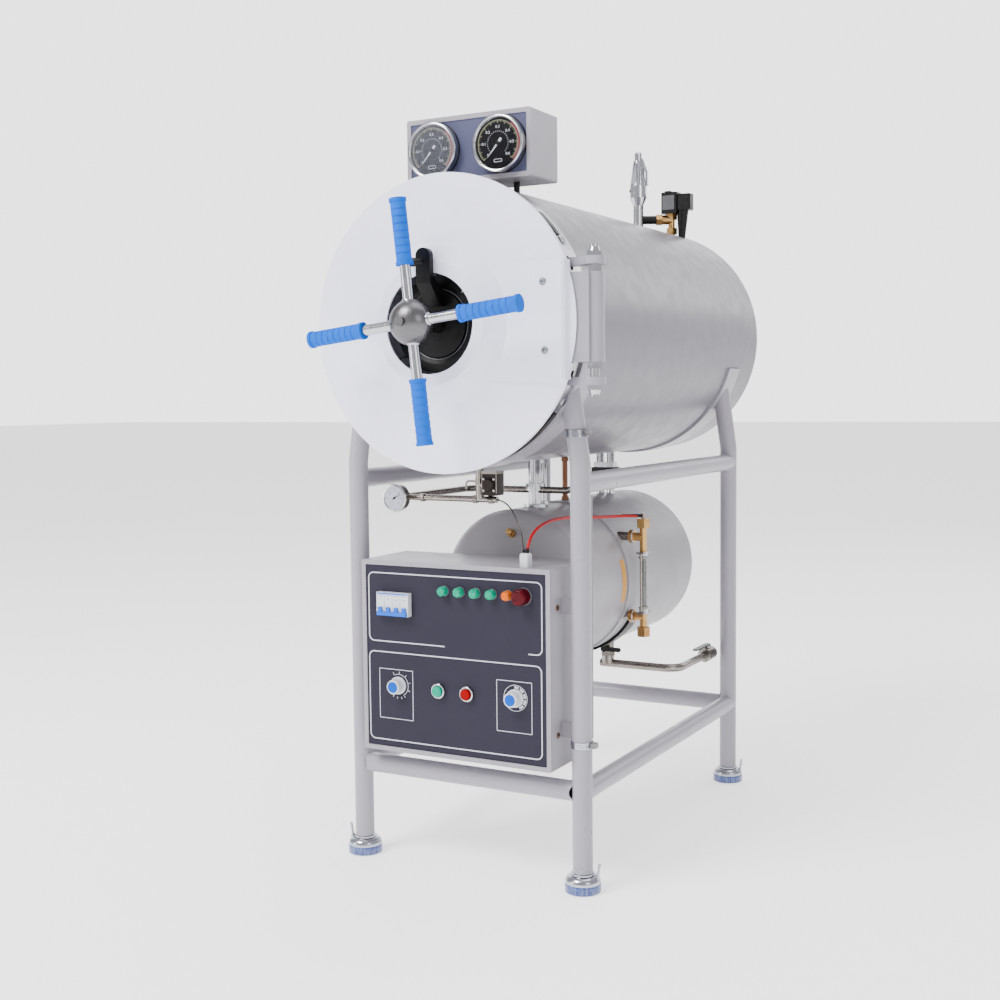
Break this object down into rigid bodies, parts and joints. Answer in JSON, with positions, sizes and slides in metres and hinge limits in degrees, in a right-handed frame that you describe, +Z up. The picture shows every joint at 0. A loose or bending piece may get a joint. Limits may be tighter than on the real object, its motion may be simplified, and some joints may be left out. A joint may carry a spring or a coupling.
{
  "type": "horizontal autoclave",
  "caption": "Horizontal steam autoclave: jacketed cylinder with hand-wheel door on a tube stand, with gauge box, steam generator and control box below",
  "frame": {"origin": "on the floor, under the middle of the bounding box", "axes": "+Z up, the door faces -Y, its hinge is on the +X side; the vessel's axis runs along Y"},
  "size_m": [0.5957, 1.196, 1.499],
  "materials": {
    "frame_paint": "satin grey paint",
    "vessel_paint": "satin grey",
    "ring_steel": "machined",
    "chamber_steel": "satin",
    "cover_paint": "smooth light grey",
    "box_paint": "satin light grey",
    "panel_blue": "satin slate blue",
    "chrome": "polished",
    "hub_steel": "brushed",
    "grip_rubber": "matt blue",
    "black_cast": "black",
    "brass": "turned",
    "glass": "clear",
    "gasket_rubber": "matt",
    "white_plastic": "white",
    "lamp_green": "green lens",
    "alarm_red": "dark red",
    "button_green": "green",
    "button_red": "red",
    "conduit_grey": "grey",
    "cable_red": "red",
    "capillary_steel": "dull"
  },
  "bodies": {
    "stand": {"leg_front_left": "frame_paint", "leg_front_right": "frame_paint", "leg_rear_left": "frame_paint", "leg_rear_right": "frame_paint", "feet": "chrome", "rail_front": "frame_paint", "rail_rear": "frame_paint", "lower_side_rails": "frame_paint", "upper_side_rails": "frame_paint", "saddles": "frame_paint", "vessel_jacket": "vessel_paint", "chamber_liner": "chamber_steel", "front_ring": "ring_steel", "rear_end": "vessel_paint", "hinge_lugs": "frame_paint", "hinge_pin": "chrome", "gauge_box": "box_paint", "gauge_panel": "panel_blue", "pressure_gauges": "chrome", "gauge_stubs": "black_cast", "safety_valve": "chrome", "inlet_valve": "black_cast", "steam_generator": "vessel_paint", "tank_band": "black_cast", "steam_pipe": "chrome", "return_pipes": "chrome", "drain_pipe": "chrome", "level_gauge": "brass", "level_fittings": "chrome", "gauge_glass": "glass", "exhaust_pipe": "chrome", "loop_pipe": "chrome", "inlet_fittings": "brass", "thermometer": "chrome", "control_box": "box_paint", "control_panel": "panel_blue", "breaker": "white_plastic", "indicator_lamps": "lamp_green", "alarm_lamp": "alarm_red", "button_bezels": "white_plastic", "cable_plug": "white_plastic", "leg_conduit": "conduit_grey", "heater_cable": "cable_red", "probe_capillary": "capillary_steel"},
    "door": {"door_plate": "ring_steel", "door_gasket": "gasket_rubber", "door_cover": "cover_paint", "hinge_arm": "ring_steel", "lock_bars": "ring_steel", "lock_housing": "black_cast"},
    "handwheel": {"wheel_hub": "hub_steel", "wheel_spokes": "chrome", "wheel_grips": "grip_rubber"},
    "lock_lever": {"lock_lever": "black_cast"},
    "mode_knob": {"mode_knob": "white_plastic"},
    "timer_knob": {"timer_knob": "white_plastic"},
    "start_button": {"start_button": "button_green"},
    "stop_button": {"stop_button": "button_red"},
    "drain_lever": {"drain_lever": "black_cast"},
    "blowdown_lever": {"blowdown_lever": "black_cast"}
  },
  "joints": [
    {"name": "door_hinge", "type": "hinge", "parent": "stand", "child": "door", "pos_m": [0.279, -0.428, 1.048], "axis": [0, 0, 1], "range_deg": [0, 120]},
    {"name": "handwheel_turn", "type": "hinge", "parent": "door", "child": "handwheel", "pos_m": [-0.017, -0.557, 1.048], "axis": [0, 1, 0], "range_deg": [-180, 180]},
    {"name": "lock_lever_swing", "type": "hinge", "parent": "door", "child": "lock_lever", "pos_m": [-0.017, -0.557, 1.048], "axis": [0, 1, 0], "range_deg": [0, 30]},
    {"name": "mode_knob_turn", "type": "hinge", "parent": "stand", "child": "mode_knob", "pos_m": [-0.145, -0.42, 0.3597], "axis": [0, -1, 0], "range_deg": [-60, 60]},
    {"name": "timer_knob_turn", "type": "hinge", "parent": "stand", "child": "timer_knob", "pos_m": [0.111, -0.42, 0.3597], "axis": [0, -1, 0], "range_deg": [-300, 0]},
    {"name": "start_button_press", "type": "slide", "parent": "stand", "child": "start_button", "axis": [0, 1, 0], "range_m": [0, 0.003], "stiffness_N_per_m": 300},
    {"name": "stop_button_press", "type": "slide", "parent": "stand", "child": "stop_button", "axis": [0, 1, 0], "range_m": [0, 0.003], "stiffness_N_per_m": 300},
    {"name": "drain_lever_turn", "type": "hinge", "parent": "stand", "child": "drain_lever", "pos_m": [0.19, 0.39, 0.308], "axis": [0, 0, 1], "range_deg": [0, 90]},
    {"name": "blowdown_lever_turn", "type": "hinge", "parent": "stand", "child": "blowdown_lever", "pos_m": [0.023, 0.193, 0.344], "axis": [0, 1, 0], "range_deg": [0, 90]}
  ]
}
